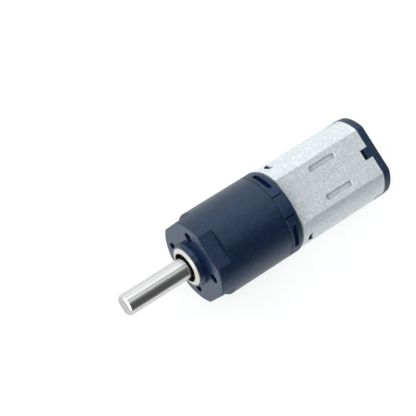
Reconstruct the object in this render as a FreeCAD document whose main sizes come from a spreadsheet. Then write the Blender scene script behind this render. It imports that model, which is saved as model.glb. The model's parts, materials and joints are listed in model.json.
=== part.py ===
import FreeCAD, Part
import math
import os

import Sketcher

# Miniature planetary gearmotor: a flatted brush motor behind a round two-stage gearbox.
# Frame: +X runs out along the output shaft, +Z stands on the motor's broad flat, and the
# origin is on the shaft's axis at the gearbox's front face. Everything else lies at -X.
# Angles around the axis are measured from +Z towards +Y. Lengths are millimetres.

SIZES = {
    # gearbox housing
    "barrel_radius": 8.0,
    "barrel_length": 15.3,
    "edge_break": 0.15,
    "wrench_flat": 7.33,
    "wrench_flat_length": 3.0,
    "front_wall": 3.6,
    "pilot_radius": 4.1,
    "pilot_length": 0.6,
    "nose_radius": 3.9,
    "nose_length": 1.4,
    "screw_circle_radius": 5.75,
    "screw_hole_radius": 0.9,
    "screw_hole_depth": 3.0,
    "spigot_radius": 7.2,
    "spigot_length": 1.75,
    "spigot_bore": 6.65,
    "toothed_length": 10.1,
    "lug_top": 7.55,
    "lug_front": 16.05,
    "lug_back": 16.85,
    "lug_half_width": 2.2,
    # output bush and shaft
    "bush_radius": 3.1,
    "bush_flange_radius": 3.6,
    "bush_flange_seat": 1.2,
    "bush_rim_front": 1.45,
    "bush_front": 1.75,
    "bush_lip_radius": 3.0,
    "bush_mouth_radius": 2.75,
    "bush_mouth_depth": 1.0,
    "shaft_radius": 2.0,
    "shaft_tip": 14.64,
    "shaft_chamfer": 0.3,
    "relief_front": 1.65,
    "relief_width": 0.6,
    "relief_radius": 1.8,
    "shaft_flat": 1.5,
    "shaft_flat_start": 3.35,
    "running_clearance": 0.03,
    # gear train
    "gear_module": 0.3,
    "sun_teeth": 12,
    "planet_teeth": 15,
    "ring_teeth": 42,
    "addendum": 0.8,
    "ring_addendum": 0.7,
    "dedendum": 1.1,
    "flank_clearance": 0.025,
    "washer_thickness": 0.3,
    "washer_gap": 0.05,
    "washer_radius": 5.2,
    "gear_gap": 0.2,
    "carrier_radius": 5.8,
    "carrier_hub_radius": 4.4,
    "output_carrier_thickness": 1.4,
    "output_planet_width": 3.2,
    "output_pin_radius": 0.75,
    "input_carrier_thickness": 1.2,
    "input_planet_width": 3.0,
    "input_pin_radius": 0.6,
    "pin_chamfer": 0.12,
    "plate_gap": 0.35,
    "plate_thickness": 0.3,
    "plate_radius": 6.6,
    "plate_hole_radius": 2.4,
    # rear cover of the gearbox, with its snap fingers
    "cover_seam": 0.1,
    "cover_back": 17.95,
    "cover_chamfer": 0.3,
    "skirt_inner_radius": 7.25,
    "skirt_floor": 17.25,
    "cover_hole_radius": 2.6,
    "window_front": 15.95,
    "window_back": 16.88,
    "window_half_width": 2.34,
    "key_half_width": 2.1,
    "slit_width": 0.22,
    "screw_offset": 4.5,
    "screw_head_radius": 1.4,
    "screw_head_height": 0.9,
    "screw_shank_radius": 0.8,
    "screw_end": 18.9,
    "screw_recess_depth": 0.5,
    "counterbore_radius": 1.55,
    "counterbore_depth": 1.6,
    # motor can
    "can_radius": 7.8,
    "can_flat": 6.0,
    "can_side_offset": 0.75,
    "can_corner": 0.4,
    "can_inner_corner": 0.15,
    "can_wall": 0.6,
    "can_back": 37.04,
    "can_front_wall": 0.8,
    "can_front_round": 0.95,
    "can_boss_radius": 2.5,
    "can_boss_height": 0.95,
    "slot_front": 25.0,
    "slot_back": 31.0,
    "slot_offset": 2.87,
    "slot_half_width": 0.3,
    "slot_depth": 0.35,
    "slot_draft_run": 0.27,
    "rib_height": 0.4,
    "rib_half_width": 0.5,
    "key_notch_front": 35.42,
    "key_notch_half_width": 1.0,
    "vent_front": 35.05,
    "vent_offset": 1.4,
    "vent_half_width": 0.52,
    "lance_plane": 7.73,
    "lance_front": 19.35,
    "lance_back": 20.4,
    "lance_radius": 1.05,
    "lance_depth": 0.62,
    "lance_floor": 0.42,
    "lance_root": 0.05,
    "lance_slit": 0.28,
    "punch_radius": 0.22,
    "punch_depth": 0.25,
    "punch_place": 35.75,
    # motor internals
    "motor_shaft_radius": 0.75,
    "motor_shaft_front": 10.5,
    "motor_shaft_back": 39.05,
    "pinion_back": 16.8,
    "motor_bush_radius": 1.6,
    "front_bush_front": 17.05,
    "front_bush_back": 19.4,
    "rear_bush_front": 35.9,
    "rear_bush_back": 39.2,
    "spacer_radius": 1.5,
    "spacer_thickness": 0.9,
    "magnet_front": 21.0,
    "magnet_back": 32.4,
    "magnet_inner_radius": 5.2,
    "magnet_outer_radius": 6.42,
    "magnet_half_height": 5.2,
    "magnet_edge": 3.55,
    "core_front": 22.2,
    "core_back": 30.2,
    "core_radius": 4.85,
    "core_hub_radius": 1.8,
    "shoe_inner_radius": 3.9,
    "pole_half_width": 1.05,
    "pole_gap": 0.9,
    "insulator_thickness": 0.3,
    "insulator_radius": 4.5,
    "coil_half_width": 2.35,
    "coil_inner_radius": 1.95,
    "coil_outer_radius": 3.85,
    "coil_overhang": 0.9,
    "commutator_front": 31.7,
    "commutator_back": 35.2,
    "commutator_flange_radius": 2.7,
    "commutator_flange_thickness": 0.4,
    "commutator_sleeve_radius": 1.6,
    "commutator_radius": 2.3,
    "commutator_gap": 0.25,
    # motor end cap, brushes and terminals
    "cap_back": 38.6,
    "cap_inset": 0.04,
    "cap_corner": 0.6,
    "cap_spigot_front": 33.4,
    "cap_spigot_gap": 0.05,
    "cap_spigot_wall": 0.85,
    "cap_floor": 36.95,
    "cap_round": 0.2,
    "cap_post_radius": 2.6,
    "cap_post_front": 36.0,
    "cap_boss_radius": 2.8,
    "cap_boss_back": 39.4,
    "cap_key_front": 36.15,
    "cap_key_top": 5.9,
    "cap_recess_half_width": 1.45,
    "cap_recess_depth": 0.5,
    "cap_recess_inner": 4.9,
    "terminal_place": 5.35,
    "terminal_thickness": 0.3,
    "terminal_front": 34.0,
    "terminal_half_width": 0.75,
    "terminal_eye_place": 39.6,
    "terminal_eye_radius": 1.0,
    "terminal_hole_radius": 0.62,
    "terminal_slot_gap": 0.05,
    "leaf_thickness": 0.15,
    "leaf_front": 32.9,
    "leaf_back": 34.6,
    "leaf_rise": 2.6,
    "leaf_bend": 0.9,
    "leaf_drop": 0.75,
    "block_front": 33.1,
    "block_back": 34.4,
    "block_half_height": 0.55,
    "block_outer": 3.0,
    "block_clearance": 0.04,
}

PRESSURE_ANGLE = math.radians(20.0)
FLANK_POINTS = 4
QUARTER_ANGLES = (45.0, 135.0, 225.0, 315.0)
OUTPUT_PLANET_ANGLES = (0.0, 120.0, 240.0)
INPUT_PLANET_ANGLES = (60.0, 180.0, 300.0)
LANCE_OFFSETS = (-23.0, 23.0)
SIDES = {"left": 0.0, "right": 180.0}

doc = FreeCAD.newDocument("gearmotor")
sheet = doc.addObject("Spreadsheet::Sheet", "Sizes")
for row, (alias, size) in enumerate(SIZES.items(), start=1):
    sheet.set("A%d" % row, alias)
    sheet.set("B%d" % row, str(size))
    sheet.setAlias("B%d" % row, alias)
doc.recompute()


class Dim:
    """A size together with the spreadsheet expression that it comes from."""

    def __init__(self, text, value):
        self.text = text
        self.value = float(value)

    @staticmethod
    def of(other):
        return other if isinstance(other, Dim) else Dim(repr(float(other)), other)

    def joined(self, sign, other, value):
        return Dim("(%s %s %s)" % (self.text, sign, other.text), value)

    def __add__(self, other):
        other = Dim.of(other)
        return self.joined("+", other, self.value + other.value)

    def __sub__(self, other):
        other = Dim.of(other)
        return self.joined("-", other, self.value - other.value)

    def __mul__(self, other):
        other = Dim.of(other)
        return self.joined("*", other, self.value * other.value)

    def __truediv__(self, other):
        other = Dim.of(other)
        return self.joined("/", other, self.value / other.value)

    def __neg__(self):
        return Dim("(-1 * %s)" % self.text, -self.value)

    def __rsub__(self, other):
        return Dim.of(other) - self

    __radd__ = __add__
    __rmul__ = __mul__


class SizeBook:
    """Reads a size from the spreadsheet by its alias."""

    def __getattr__(self, alias):
        return Dim("Sizes." + alias, sheet.get(alias))


D = SizeBook()
X_AXIS = FreeCAD.Vector(1, 0, 0)
ZERO = Dim("0", 0.0)


# --- sketches ---------------------------------------------------------------------------


def origin_feature(body, role):
    return next(f for f in body.Origin.OriginFeatures if f.Role == role)


def sketch_on(body, name, role, height=ZERO, roll=0.0, tilt=0.0, pivot=ZERO):
    """Sketch on an origin plane, raised by height, rolled about X and tilted about its pivot.

    The pivot is a place along X, and the tilt tips the plane down towards -X.
    """
    sketch = body.newObject("Sketcher::SketchObject", name)
    sketch.AttachmentSupport = [(origin_feature(body, role), "")]
    sketch.MapMode = "FlatFace"
    turn = FreeCAD.Rotation(X_AXIS, roll) * FreeCAD.Rotation(FreeCAD.Vector(0, 1, 0), -tilt)
    sketch.AttachmentOffset = FreeCAD.Placement(FreeCAD.Vector(), turn)
    sine = math.sin(math.radians(roll))
    cosine = math.cos(math.radians(roll))
    for axis, place in (("x", pivot), ("y", height * -sine), ("z", height * cosine)):
        sketch.setExpression("AttachmentOffset.Base." + axis, place.text)
    return sketch


def pin_down(sketch, geometry, vertex, point):
    """Ties one vertex to its two coordinates, each a Dim or a number."""
    for coordinate, kind, own_axis in zip(point, ("DistanceX", "DistanceY"), (-2, -1)):
        coordinate = Dim.of(coordinate)
        if abs(coordinate.value) < 1e-9:
            sketch.addConstraint(Sketcher.Constraint("PointOnObject", geometry, vertex, own_axis))
            continue
        constraint = Sketcher.Constraint(kind, -1, 1, geometry, vertex, coordinate.value)
        index = sketch.addConstraint(constraint)
        sketch.setExpression("Constraints[%d]" % index, coordinate.text)


def draw_polygon(sketch, points):
    """Closed outline of straight edges through points, each a pair of Dims or numbers."""
    corners = [FreeCAD.Vector(Dim.of(a).value, Dim.of(b).value, 0) for a, b in points]
    first = len(sketch.Geometry)
    count = len(points)
    for index in range(count):
        sketch.addGeometry(Part.LineSegment(corners[index], corners[(index + 1) % count]))
    for index in range(count):
        following = first + (index + 1) % count
        sketch.addConstraint(Sketcher.Constraint("Coincident", first + index, 2, following, 1))
    for index, point in enumerate(points):
        pin_down(sketch, first + index, 1, point)


def draw_circle(sketch, centre, radius):
    place = FreeCAD.Vector(Dim.of(centre[0]).value, Dim.of(centre[1]).value, 0)
    index = sketch.addGeometry(Part.Circle(place, FreeCAD.Vector(0, 0, 1), radius.value))
    pin_down(sketch, index, 3, centre)
    constraint = sketch.addConstraint(Sketcher.Constraint("Radius", index, radius.value))
    sketch.setExpression("Constraints[%d]" % constraint, radius.text)


def draw_arc(sketch, centre, radius, start, end):
    """Arc about centre from one angle to another, in degrees; returns its geometry index."""
    circle = Part.Circle(centre, FreeCAD.Vector(0, 0, 1), radius.value)
    arc = Part.ArcOfCircle(circle, math.radians(start), math.radians(end))
    return sketch.addGeometry(arc)


def size_arc(sketch, index, radius):
    constraint = sketch.addConstraint(Sketcher.Constraint("Radius", index, radius.value))
    sketch.setExpression("Constraints[%d]" % constraint, radius.text)


def draw_slot(sketch, front, back, middle, half_width):
    """Slot along X with round ends, from x = front to x = back, centred on y = middle."""
    front_centre = (front - half_width, middle)
    back_centre = (back + half_width, middle)
    near = FreeCAD.Vector(front_centre[0].value, middle.value, 0)
    far = FreeCAD.Vector(back_centre[0].value, middle.value, 0)
    up = FreeCAD.Vector(0, half_width.value, 0)
    top = sketch.addGeometry(Part.LineSegment(near + up, far + up))
    back_end = draw_arc(sketch, far, half_width, 90, 270)
    bottom = sketch.addGeometry(Part.LineSegment(far - up, near - up))
    front_end = draw_arc(sketch, near, half_width, -90, 90)
    joints = ((top, 2, back_end, 1), (back_end, 2, bottom, 1),
              (bottom, 2, front_end, 1), (front_end, 2, top, 1))
    for joint in joints:
        sketch.addConstraint(Sketcher.Constraint("Tangent", *joint))
    pin_down(sketch, back_end, 3, back_centre)
    pin_down(sketch, front_end, 3, front_centre)
    size_arc(sketch, back_end, half_width)


def draw_half_disc(sketch, centre_x, radius):
    """Half disc whose straight edge lies at centre_x and whose round side faces +X."""
    centre = FreeCAD.Vector(centre_x.value, 0, 0)
    side = FreeCAD.Vector(0, radius.value, 0)
    arc = draw_arc(sketch, centre, radius, -90, 90)
    chord = sketch.addGeometry(Part.LineSegment(centre + side, centre - side))
    sketch.addConstraint(Sketcher.Constraint("Coincident", arc, 2, chord, 1))
    sketch.addConstraint(Sketcher.Constraint("Coincident", chord, 2, arc, 1))
    sketch.addConstraint(Sketcher.Constraint("PointOnObject", arc, 3, chord))
    sketch.addConstraint(Sketcher.Constraint("Vertical", chord))
    pin_down(sketch, arc, 3, (centre_x, 0))
    size_arc(sketch, arc, radius)


def draw_flatted_round(sketch, inset, corner):
    """Section of the motor can, or one inset from it: round on +-Y and flat on +-Z.

    Each round side is an arc about a centre a little off the axis.
    """
    flat = D.can_flat - inset
    side = D.can_radius - D.can_side_offset - inset
    offset = D.can_side_offset.value
    height = (flat - corner).value
    reach = math.sqrt((side - corner).value ** 2 - height ** 2)
    bend = math.degrees(math.atan2(height, reach))
    start = FreeCAD.Vector(-offset - reach, flat.value, 0)
    end = FreeCAD.Vector(offset + reach, flat.value, 0)
    line_top = sketch.addGeometry(Part.LineSegment(start, end))
    corners = []
    spans = ((1, 1, bend, 90), (-1, 1, 90, 180 - bend),
             (-1, -1, 180 + bend, 270), (1, -1, 270, 360 - bend))
    for side_y, side_z, first, last in spans:
        centre = FreeCAD.Vector(side_y * (offset + reach), side_z * height, 0)
        corners.append(draw_arc(sketch, centre, corner, first, last))
    left = draw_arc(sketch, FreeCAD.Vector(-offset, 0, 0), side, 180 - bend, 180 + bend)
    right = draw_arc(sketch, FreeCAD.Vector(offset, 0, 0), side, -bend, bend)
    start = FreeCAD.Vector(-offset - reach, -flat.value, 0)
    end = FreeCAD.Vector(offset + reach, -flat.value, 0)
    line_low = sketch.addGeometry(Part.LineSegment(start, end))
    joints = ((line_top, 2, corners[0], 2), (corners[0], 1, right, 2),
              (right, 1, corners[3], 2), (corners[3], 1, line_low, 2),
              (line_low, 1, corners[2], 2), (corners[2], 1, left, 2),
              (left, 1, corners[1], 2), (corners[1], 1, line_top, 1))
    for joint in joints:
        sketch.addConstraint(Sketcher.Constraint("Tangent", *joint))
    for round_side, place in ((left, -D.can_side_offset), (right, D.can_side_offset)):
        pin_down(sketch, round_side, 3, (place, 0))
        size_arc(sketch, round_side, side)
    for corner_arc in corners:
        size_arc(sketch, corner_arc, corner)
    for line, place in ((line_top, flat), (line_low, -flat)):
        sketch.addConstraint(Sketcher.Constraint("Horizontal", line))
        index = sketch.addConstraint(Sketcher.Constraint("DistanceY", -1, 1, line, 1, place.value))
        sketch.setExpression("Constraints[%d]" % index, place.text)


# --- features ---------------------------------------------------------------------------


def new_body(label):
    return doc.addObject("PartDesign::Body", label)


def sweep_feature(body, kind, name, sketch, length, outward, both_ways=False):
    """Pad or Pocket along the sketch's normal (outward) or against it."""
    feature = body.newObject(kind, name)
    feature.Profile = sketch
    feature.setExpression("Length", length.text)
    if both_ways:
        feature.Midplane = True
    else:
        runs_along_normal = kind == "PartDesign::Pad"
        feature.Reversed = outward != runs_along_normal
    return feature


def pad(body, name, sketch, length, outward=True, both_ways=False):
    return sweep_feature(body, "PartDesign::Pad", name, sketch, length, outward, both_ways)


def pocket(body, name, sketch, length, outward=True):
    """Pocket that must take something away, or the build stops."""
    doc.recompute()
    before = body.Shape.Volume
    feature = sweep_feature(body, "PartDesign::Pocket", name, sketch, length, outward)
    doc.recompute()
    if body.Shape.Volume > before - 1e-4:
        raise RuntimeError("%s cuts nothing" % name)
    return feature


def round_end(body, name, feature, station, radius):
    """Rounds every edge of a feature that lies wholly in the plane x = station."""
    doc.recompute()
    edges = ["Edge%d" % index for index, edge in enumerate(feature.Shape.Edges, start=1)
             if abs(edge.BoundBox.XMin - station.value) < 1e-6
             and edge.BoundBox.XLength < 1e-6]
    rounding = body.newObject("PartDesign::Fillet", name)
    rounding.Base = (feature, edges)
    rounding.setExpression("Radius", radius.text)
    doc.recompute()


def around(body, name, features, count):
    """Repeats features evenly about X."""
    pattern = body.newObject("PartDesign::PolarPattern", name)
    pattern.Originals = features
    pattern.Axis = (origin_feature(body, "X_Axis"), [""])
    pattern.Angle = 360
    pattern.Occurrences = count
    body.Tip = pattern
    doc.recompute()
    return pattern


def turned(label, outline, plane="XY_Plane"):
    """Body of revolution about X from an outline of (x, radius) points drawn on a plane."""
    body = new_body(label)
    sketch = sketch_on(body, label + "_outline", plane)
    draw_polygon(sketch, outline)
    turn = body.newObject("PartDesign::Revolution", label + "_turn")
    turn.Profile = sketch
    turn.ReferenceAxis = (sketch, ["H_Axis"])
    turn.Angle = 360
    doc.recompute()
    return body


def rectangle(x_front, x_back, low, high):
    return [(x_back, low), (x_front, low), (x_front, high), (x_back, high)]


def cylinder(name, radius, front, back):
    """Part::Cylinder along X between two stations."""
    solid = doc.addObject("Part::Cylinder", name)
    solid.setExpression("Radius", radius.text)
    solid.setExpression("Height", (front - back).text)
    solid.Placement = FreeCAD.Placement(FreeCAD.Vector(), FreeCAD.Rotation(0, 90, 0))
    solid.setExpression("Placement.Base.x", back.text)
    return solid


def box(name, front, back, low, high, half_width, roll=0.0):
    """Part::Box between two stations, from radius low to high, rolled about X."""
    solid = doc.addObject("Part::Box", name)
    solid.setExpression("Length", (front - back).text)
    solid.setExpression("Width", (half_width * 2).text)
    solid.setExpression("Height", (high - low).text)
    solid.Placement = FreeCAD.Placement(FreeCAD.Vector(), FreeCAD.Rotation(X_AXIS, -roll))
    sine = math.sin(math.radians(roll))
    cosine = math.cos(math.radians(roll))
    solid.setExpression("Placement.Base.x", back.text)
    solid.setExpression("Placement.Base.y", (low * sine - half_width * cosine).text)
    solid.setExpression("Placement.Base.z", (low * cosine + half_width * sine).text)
    return solid


def cut(label, base, tool):
    result = doc.addObject("Part::Cut", label)
    result.Base = base
    result.Tool = tool
    return result


def fuse(label, pieces):
    result = doc.addObject("Part::MultiFuse", label)
    result.Shapes = pieces
    return result


def common(label, pieces):
    result = doc.addObject("Part::MultiCommon", label)
    result.Shapes = pieces
    return result


def group(label, pieces):
    """Identical pieces kept as separate solids in one node."""
    result = doc.addObject("Part::Compound", label)
    result.Links = pieces
    return result


def tube(name, outer, inner, front, back):
    return cut(name, cylinder(name + "_outer", outer, front, back),
               cylinder(name + "_inner", inner, front, back))


def place_around(piece, angle, radius=0.0):
    """Moves a piece out from the axis to an angle and turns it to match."""
    reach = Dim.of(radius).value
    offset = FreeCAD.Vector(0, reach * math.sin(math.radians(angle)),
                            reach * math.cos(math.radians(angle)))
    piece.Placement = FreeCAD.Placement(offset, FreeCAD.Rotation(X_AXIS, -angle))
    return piece


# --- gear teeth -------------------------------------------------------------------------


def involute(angle):
    return math.tan(angle) - angle


def tooth_half_angle(teeth, thickness, radius):
    """Half the angle that a tooth fills at a radius, for a thickness at the pitch circle."""
    pitch_radius = D.gear_module.value * teeth / 2
    base_radius = pitch_radius * math.cos(PRESSURE_ANGLE)
    flank_angle = math.acos(min(1.0, base_radius / max(radius, base_radius)))
    half_at_pitch = thickness / (2 * pitch_radius)
    return half_at_pitch + involute(PRESSURE_ANGLE) - involute(flank_angle)


def polar_point(radius, angle):
    """Point in the YZ plane at an angle in radians from +Z towards +Y."""
    return FreeCAD.Vector(0, radius * math.sin(angle), radius * math.cos(angle))


def toothed_disc(name, teeth, tip_radius, root_radius, thickness, front, back):
    """Disc with involute teeth about X and a tooth centred on +Z, as a Part::Feature."""
    pitch = 2 * math.pi / teeth
    base_radius = D.gear_module.value * teeth / 2 * math.cos(PRESSURE_ANGLE)
    flank_foot = max(root_radius, base_radius)
    steps = [flank_foot + (tip_radius - flank_foot) * step / (FLANK_POINTS - 1)
             for step in range(FLANK_POINTS)]
    halves = [tooth_half_angle(teeth, thickness, radius) for radius in steps]
    foot = halves[0]
    edges = []
    for tooth in range(teeth):
        centre = tooth * pitch
        for side in (-1, 1):
            points = [polar_point(r, centre + side * half) for r, half in zip(steps, halves)]
            flank = Part.BSplineCurve()
            flank.interpolate(points)
            edges.append(flank.toShape())
            if root_radius < base_radius:
                root_point = polar_point(root_radius, centre + side * foot)
                edges.append(Part.LineSegment(root_point, points[0]).toShape())
        tip = [polar_point(tip_radius, centre + turn * halves[-1]) for turn in (-1, 0, 1)]
        edges.append(Part.Arc(*tip).toShape())
        gap_start = centre + foot
        gap_end = centre + pitch - foot
        gap = [polar_point(root_radius, angle)
               for angle in (gap_start, (gap_start + gap_end) / 2, gap_end)]
        edges.append(Part.Arc(*gap).toShape())
    outline = Part.Wire(Part.__sortEdges__(edges))
    disc = Part.Face(outline).extrude(FreeCAD.Vector(front.value - back.value, 0, 0))
    feature = doc.addObject("Part::Feature", name)
    feature.Shape = disc
    feature.Placement = FreeCAD.Placement(FreeCAD.Vector(back.value, 0, 0), FreeCAD.Rotation())
    return feature


def external_gear(name, teeth, front, back):
    """Toothed disc for the sun gears and planets, thinned for running clearance."""
    module = D.gear_module.value
    pitch_radius = module * teeth / 2
    thickness = math.pi * module / 2 - D.flank_clearance.value
    tip = pitch_radius + D.addendum.value * module
    root = pitch_radius - D.dedendum.value * module
    return toothed_disc(name, teeth, tip, root, thickness, front, back)


# --- stations along the gearbox ---------------------------------------------------------

FRONT_WALL_BACK = -D.front_wall
OUTPUT_WASHER_BACK = FRONT_WALL_BACK - D.washer_thickness
OUTPUT_CARRIER_FRONT = OUTPUT_WASHER_BACK - D.washer_gap
OUTPUT_CARRIER_BACK = OUTPUT_CARRIER_FRONT - D.output_carrier_thickness
OUTPUT_PLANET_FRONT = OUTPUT_CARRIER_BACK - D.gear_gap
OUTPUT_PLANET_BACK = OUTPUT_PLANET_FRONT - D.output_planet_width
INPUT_CARRIER_FRONT = OUTPUT_PLANET_BACK - D.gear_gap
INPUT_CARRIER_BACK = INPUT_CARRIER_FRONT - D.input_carrier_thickness
INPUT_PLANET_FRONT = INPUT_CARRIER_BACK - D.gear_gap
INPUT_PLANET_BACK = INPUT_PLANET_FRONT - D.input_planet_width
PLATE_FRONT = INPUT_PLANET_BACK - D.plate_gap
PLATE_BACK = PLATE_FRONT - D.plate_thickness
COVER_FRONT = -(D.barrel_length + D.cover_seam)
COUNTERBORE_FLOOR = PLATE_BACK - D.counterbore_depth
CENTRE_DISTANCE = D.gear_module * (D.sun_teeth + D.planet_teeth) / 2


# --- gearbox ----------------------------------------------------------------------------


def gearbox_housing():
    """Moulded barrel with its nose, wrench flats, screw holes, ring gear and snap lugs."""
    body = turned("housing_blank", [
        (FRONT_WALL_BACK, D.bush_radius),
        (D.bush_flange_seat, D.bush_radius),
        (D.bush_flange_seat, D.bush_flange_radius + D.running_clearance),
        (D.nose_length, D.bush_flange_radius + D.running_clearance),
        (D.nose_length, D.nose_radius),
        (D.pilot_length, D.pilot_radius),
        (0, D.pilot_radius),
        (0, D.barrel_radius - D.edge_break),
        (-D.edge_break, D.barrel_radius),
        (-D.barrel_length + D.edge_break / 2, D.barrel_radius),
        (-D.barrel_length, D.barrel_radius - D.edge_break / 2),
        (-D.barrel_length, D.spigot_radius),
        (-(D.barrel_length + D.spigot_length), D.spigot_radius),
        (-(D.barrel_length + D.spigot_length), D.spigot_bore),
        (FRONT_WALL_BACK - D.toothed_length, D.spigot_bore),
        (FRONT_WALL_BACK - D.toothed_length, D.carrier_radius),
        (FRONT_WALL_BACK, D.carrier_radius),
    ])
    flat = sketch_on(body, "wrench_flat_outline", "XY_Plane", height=D.wrench_flat)
    draw_polygon(flat, rectangle(D.wrench_flat_length, -D.wrench_flat_length,
                                 -D.barrel_radius, D.barrel_radius))
    flats = [pocket(body, "wrench_flat_pocket", flat, D.barrel_radius)]
    around(body, "wrench_flats", flats, len(QUARTER_ANGLES))

    quarter = math.sqrt(0.5)
    hole = sketch_on(body, "screw_hole_outline", "YZ_Plane")
    draw_circle(hole, (D.screw_circle_radius * quarter, D.screw_circle_radius * quarter),
                D.screw_hole_radius)
    holes = [pocket(body, "screw_hole_pocket", hole, D.screw_hole_depth, outward=False)]
    around(body, "screw_holes", holes, len(QUARTER_ANGLES))

    root = D.spigot_bore + D.edge_break
    lug = sketch_on(body, "snap_lug_outline", "XZ_Plane", roll=45.0)
    draw_polygon(lug, [(-D.lug_back, root), (-D.lug_front, root), (-D.lug_front, D.lug_top),
                       (-(D.lug_front + D.edge_break), D.lug_top),
                       (-D.lug_back, D.spigot_radius)])
    lugs = [pad(body, "snap_lug_pad", lug, D.lug_half_width * 2, both_ways=True)]
    around(body, "snap_lugs", lugs, len(QUARTER_ANGLES))

    module = D.gear_module.value
    pitch_radius = D.gear_module.value * D.ring_teeth.value / 2
    tooth_space = toothed_disc(
        "ring_gear_space", int(D.ring_teeth.value),
        pitch_radius + D.dedendum.value * module,
        pitch_radius - D.ring_addendum.value * module,
        math.pi * module / 2 + D.flank_clearance.value,
        FRONT_WALL_BACK, FRONT_WALL_BACK - D.toothed_length)
    # A tooth space of the ring faces the axis through each planet.
    return cut("gearbox_housing", body, tooth_space)


def output_bush():
    """Flanged sintered bush pressed into the nose, with a coned lip and a deep mouth."""
    bore = D.shaft_radius + D.running_clearance
    return turned("output_bush", [
        (FRONT_WALL_BACK, bore),
        (FRONT_WALL_BACK, D.bush_radius),
        (D.bush_flange_seat, D.bush_radius),
        (D.bush_flange_seat, D.bush_flange_radius),
        (D.bush_rim_front, D.bush_flange_radius),
        (D.bush_front, D.bush_lip_radius),
        (D.bush_front, D.bush_mouth_radius),
        (D.bush_front - D.bush_mouth_depth, D.bush_mouth_radius),
        (D.bush_front - D.bush_mouth_depth, bore),
    ])


def output_shaft():
    """Steel shaft with a grinding relief in the bush's mouth and a D-flat in front of it.

    The outline lies on the flat's side, and its faces are kept unmerged, so that the round
    journal and the flatted length each have a wall of their own.
    """
    body = turned("output_shaft", [
        (OUTPUT_CARRIER_BACK, 0),
        (OUTPUT_CARRIER_BACK, -D.shaft_radius),
        (D.relief_front - D.relief_width, -D.shaft_radius),
        (D.relief_front - D.relief_width, -D.relief_radius),
        (D.relief_front, -D.relief_radius),
        (D.relief_front, -D.shaft_radius),
        (D.shaft_flat_start, -D.shaft_radius),
        (D.shaft_tip - D.shaft_chamfer, -D.shaft_radius),
        (D.shaft_tip, -(D.shaft_radius - D.shaft_chamfer)),
        (D.shaft_tip, 0),
    ], "XZ_Plane")
    body.Tip.Refine = False
    flat = sketch_on(body, "shaft_flat_outline", "XY_Plane", height=-D.shaft_flat)
    draw_polygon(flat, rectangle(D.shaft_tip + D.shaft_chamfer, D.shaft_flat_start,
                                 -D.shaft_radius, D.shaft_radius))
    cut_away = pocket(body, "shaft_flat_pocket", flat, D.shaft_radius, outward=False)
    cut_away.Refine = False
    doc.recompute()
    return body


def flat_washer(label, front, back, outer, inner):
    return turned(label, [(back, inner), (back, outer), (front, outer), (front, inner)])


def carrier_disc(name, front, back, bore, pin_radius, angles):
    """Carrier plate with a raised front hub and one hole for each planet pin."""
    rim_front = front - D.edge_break
    outline = [(back, bore), (back, D.carrier_radius), (rim_front, D.carrier_radius),
               (rim_front, D.carrier_hub_radius), (front, D.carrier_hub_radius), (front, bore)]
    body = turned(name, outline)
    sine = math.sin(math.radians(angles[0]))
    cosine = math.cos(math.radians(angles[0]))
    hole = sketch_on(body, name + "_hole", "YZ_Plane", height=back)
    draw_circle(hole, (CENTRE_DISTANCE * sine, CENTRE_DISTANCE * cosine), pin_radius)
    holes = [pocket(body, name + "_hole_pocket", hole, front - back)]
    around(body, name + "_holes", holes, len(angles))
    return body


def planet_pins(label, radius, front, back, angles):
    """Ground steel pins pressed into a carrier."""
    pins = []
    for number, angle in enumerate(angles, start=1):
        pin = turned("%s_%d" % (label, number), [
            (back, 0),
            (back, radius - D.pin_chamfer),
            (back + D.pin_chamfer, radius),
            (front - D.pin_chamfer, radius),
            (front, radius - D.pin_chamfer),
            (front, 0),
        ])
        pins.append(place_around(pin, angle, CENTRE_DISTANCE))
    return group(label, pins)


def planet_gear(label, front, back, pin_radius, angle):
    """Planet with its bore, turned so that a tooth points away from the axis."""
    teeth = external_gear(label + "_teeth", int(D.planet_teeth.value), front, back)
    bore = cylinder(label + "_bore", pin_radius + D.running_clearance, front, back)
    return place_around(cut(label, teeth, bore), angle, CENTRE_DISTANCE)


def input_carrier():
    """First-stage carrier with the second stage's sun gear moulded on its front."""
    disc = carrier_disc("input_carrier_disc", INPUT_CARRIER_FRONT, INPUT_CARRIER_BACK,
                        ZERO, D.input_pin_radius, INPUT_PLANET_ANGLES)
    sun = external_gear("output_stage_sun", int(D.sun_teeth.value),
                        OUTPUT_PLANET_FRONT, INPUT_CARRIER_FRONT - D.gear_gap)
    return fuse("input_carrier", [disc, sun])


def sun_pinion():
    """Long brass pinion pressed on the motor shaft."""
    back = -D.pinion_back
    teeth = external_gear("pinion_teeth", int(D.sun_teeth.value), INPUT_PLANET_FRONT, back)
    bore = cylinder("pinion_bore", D.motor_shaft_radius, INPUT_PLANET_FRONT, back)
    return cut("sun_pinion", teeth, bore)


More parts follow.
